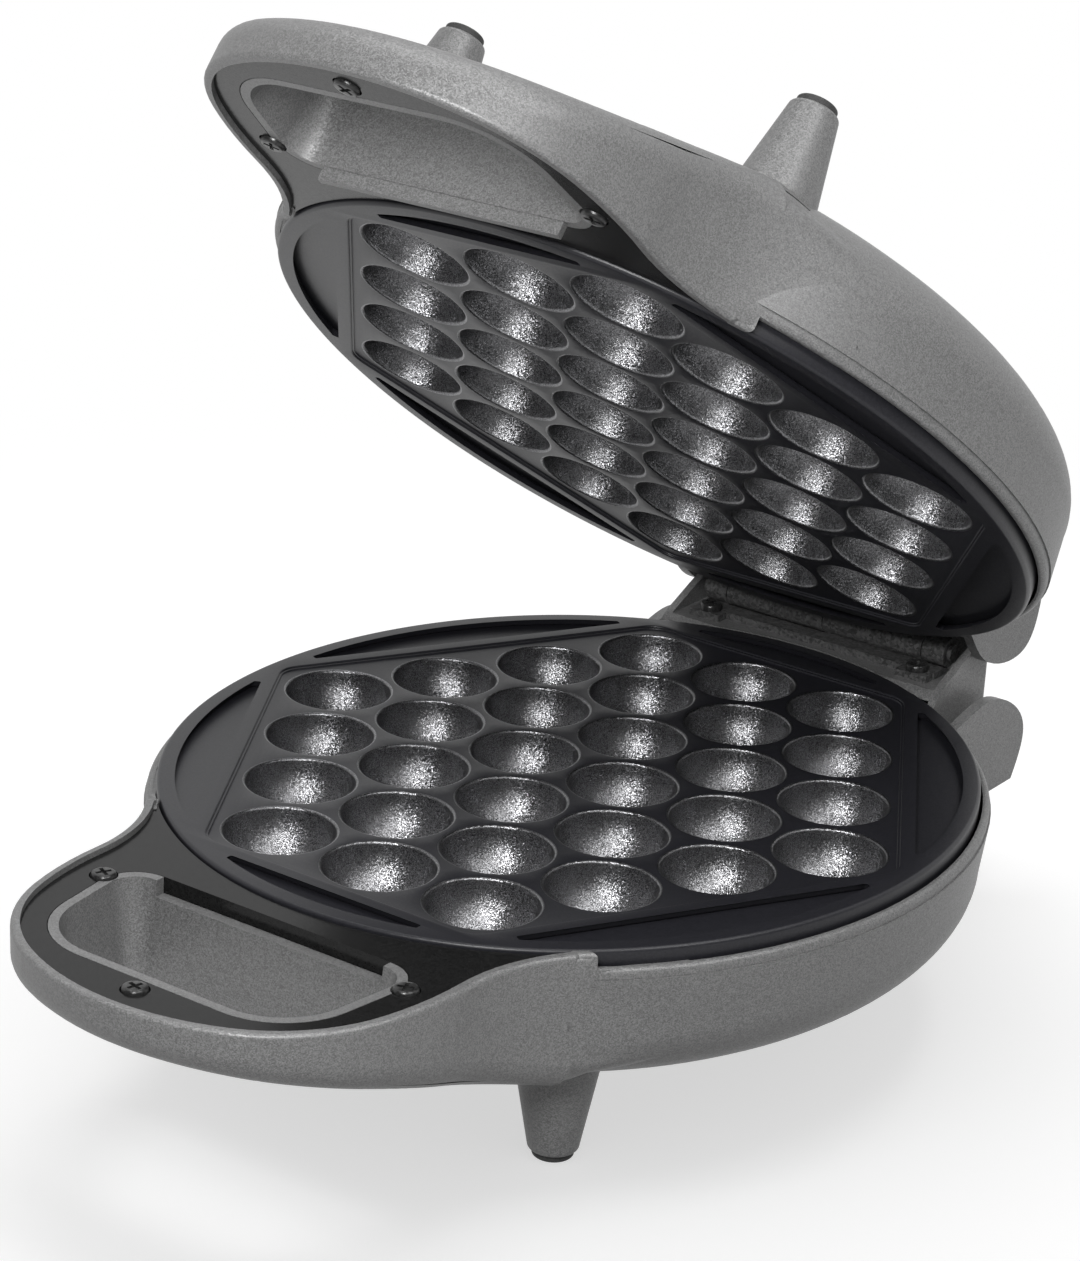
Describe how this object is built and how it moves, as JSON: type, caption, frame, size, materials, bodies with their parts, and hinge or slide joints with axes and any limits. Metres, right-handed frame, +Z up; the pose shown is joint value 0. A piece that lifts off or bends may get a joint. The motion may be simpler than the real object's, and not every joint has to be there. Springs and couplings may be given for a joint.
{
  "type": "bubble waffle maker",
  "caption": "Hinged two-plate bubble waffle maker with round moulded shells, loop handles, four legs on each half and non-stick plates of half-round cups.",
  "frame": {"origin": "on the floor under the middle of the maker as it stands open by 40 degrees", "axes": "+Z up; the handles point along -Y and the hinge lies along X at the rear"},
  "size_m": [0.203, 0.3242, 0.2584],
  "materials": {
    "housing_paint": "grey metallic paint on moulded plastic",
    "trim_black": "gloss black moulded plastic",
    "plate_coating": "cast aluminium under a satin black non-stick coating",
    "element_sheath": "heat-darkened steel sheath",
    "steel_sheet": "plain sheet steel",
    "screw_steel": "zinc-plated steel",
    "hinge_steel": "pressed steel",
    "foot_rubber": "matt black rubber",
    "gland_rubber": "matt black rubber",
    "switch_plastic": "dark phenolic plastic",
    "block_ceramic": "off-white heat-proof plastic",
    "fuse_sleeve": "woven glass sleeve, varnished",
    "lamp_red": "clear red plastic",
    "lamp_green": "clear green plastic"
  },
  "bodies": {
    "base": {"lower_housing": "housing_paint", "lower_handle_trim": "trim_black", "lower_cooking_plate": "plate_coating", "lower_heating_element": "element_sheath", "lower_element_clamps": "steel_sheet", "lower_clamp_screws": "screw_steel", "lower_heat_shield": "steel_sheet", "lower_thermostat": "switch_plastic", "lower_trim_screws": "screw_steel", "lower_plate_screws": "screw_steel", "lower_foot_pad_front_left": "foot_rubber", "lower_foot_pad_front_right": "foot_rubber", "lower_foot_pad_rear_left": "foot_rubber", "lower_foot_pad_rear_right": "foot_rubber", "lower_hinge_leaf": "hinge_steel", "lower_hinge_screws": "screw_steel", "hinge_pin": "hinge_steel", "cord_gland": "gland_rubber", "terminal_block": "block_ceramic", "thermal_fuse": "fuse_sleeve"},
    "lid": {"upper_housing": "housing_paint", "upper_handle_trim": "trim_black", "upper_cooking_plate": "plate_coating", "upper_heating_element": "element_sheath", "upper_element_clamps": "steel_sheet", "upper_clamp_screws": "screw_steel", "upper_heat_shield": "steel_sheet", "upper_thermostat": "switch_plastic", "upper_trim_screws": "screw_steel", "upper_plate_screws": "screw_steel", "upper_foot_pad_front_left": "foot_rubber", "upper_foot_pad_front_right": "foot_rubber", "upper_foot_pad_rear_left": "foot_rubber", "upper_foot_pad_rear_right": "foot_rubber", "upper_hinge_leaf": "hinge_steel", "upper_hinge_screws": "screw_steel", "power_lamp": "lamp_red", "ready_lamp": "lamp_green", "lamp_holder": "switch_plastic"}
  },
  "joints": [
    {"name": "lid_hinge", "type": "hinge", "parent": "base", "child": "lid", "pos_m": [0, 0.13182, 0.0663], "axis": [-1, 0, 0], "range_deg": [-40, 50]}
  ]
}
